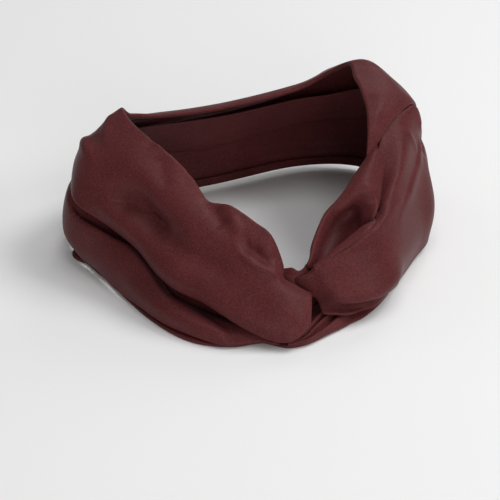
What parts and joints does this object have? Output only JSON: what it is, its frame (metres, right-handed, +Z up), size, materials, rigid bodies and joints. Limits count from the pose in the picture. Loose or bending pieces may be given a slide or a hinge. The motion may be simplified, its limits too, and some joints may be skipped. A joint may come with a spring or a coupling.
{
  "type": "silk cravat",
  "caption": "Dark burgundy silk cravat worn once round an open neck, crossed at the front with soft rolled folds and its ends tucked behind.",
  "frame": {"origin": "on the neck axis, level with the lowest folds", "axes": "+Z up the neck, -Y towards the wearer's front, -X towards the wearer's right"},
  "size_m": [0.1892, 0.1614, 0.0809],
  "materials": {
    "silk": "soft satin silk with a fine grain"
  },
  "bodies": {
    "root": {"right_upper_wrap": "silk", "neck_back_upper": "silk", "left_back_turn": "silk", "right_lower_wrap": "silk", "neck_back_lower": "silk", "left_front_wrap": "silk", "right_under_fold": "silk", "left_inner_fold": "silk", "left_inner_pleat": "silk", "left_lower_pleat": "silk", "left_bottom_fold": "silk", "crossing_tuck": "silk", "tucked_end": "silk"}
  },
  "joints": []
}
